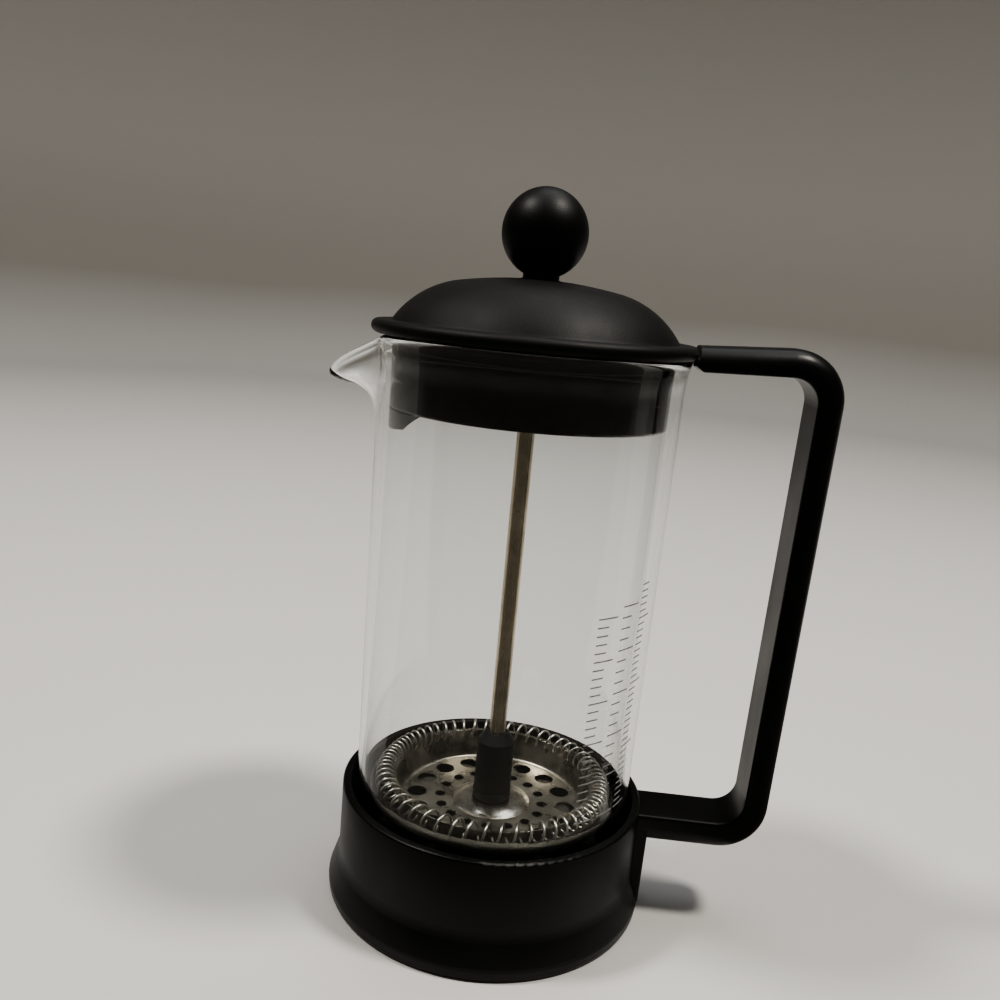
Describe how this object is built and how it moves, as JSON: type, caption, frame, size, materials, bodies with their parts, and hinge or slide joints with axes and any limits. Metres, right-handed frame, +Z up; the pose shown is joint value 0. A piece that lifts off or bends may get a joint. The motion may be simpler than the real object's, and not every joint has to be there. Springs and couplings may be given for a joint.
{
  "type": "french press",
  "caption": "Small plunger coffee maker: glass beaker in a one-piece plastic holder with handle, domed lid, ball knob, steel rod and spring-edged mesh filter.",
  "frame": {"origin": "on the table, at the beaker's axis: the centre of the base ring's underside", "axes": "+Z up along the beaker's axis, +X towards the handle, -X towards the spout"},
  "size_m": [0.1178, 0.0822, 0.1745],
  "materials": {
    "black_plastic": "fine-textured moulded polypropylene, satin sheen",
    "gloss_black": "smooth polished moulding",
    "knob_black": "fine matte moulding",
    "clear_glass": "clear borosilicate, fire-polished rim",
    "polished_steel": "drawn and polished stainless rod",
    "sleeve_plastic": "dark grey, fine eroded texture",
    "brass": "turned threaded insert",
    "sheet_steel": "pressed stainless sheet, faint tarnish",
    "spring_wire": "bright stainless wire",
    "woven_mesh": "fine woven stainless mesh"
  },
  "bodies": {
    "press_body": {"holder_frame": "black_plastic", "glass_beaker": "clear_glass"},
    "lid": {"lid_dome": "black_plastic", "lid_skirt": "gloss_black"},
    "plunger": {"plunger_rod": "polished_steel", "rod_sleeve": "sleeve_plastic", "thread_insert": "brass"},
    "knob": {"knob_ball": "knob_black", "knob_insert": "brass"},
    "filter": {"spring_plate": "sheet_steel", "coil_spring": "spring_wire", "filter_mesh": "woven_mesh", "cross_plate": "sheet_steel", "cross_plate_stud": "polished_steel"}
  },
  "joints": [
    {"name": "lid_lift", "type": "slide", "parent": "press_body", "child": "lid", "axis": [0, 0, 1], "range_m": [0, 0.125]},
    {"name": "plunger_slide", "type": "slide", "parent": "lid", "child": "plunger", "axis": [0, 0, 1], "range_m": [0, 0.085]},
    {"name": "knob_unscrew", "type": "hinge", "parent": "plunger", "child": "knob", "pos_m": [0, 0, 0.16], "axis": [0, 0, 1], "continuous": true},
    {"name": "filter_unscrew", "type": "hinge", "parent": "plunger", "child": "filter", "pos_m": [0, 0, 0.03], "axis": [0, 0, 1], "continuous": true}
  ]
}
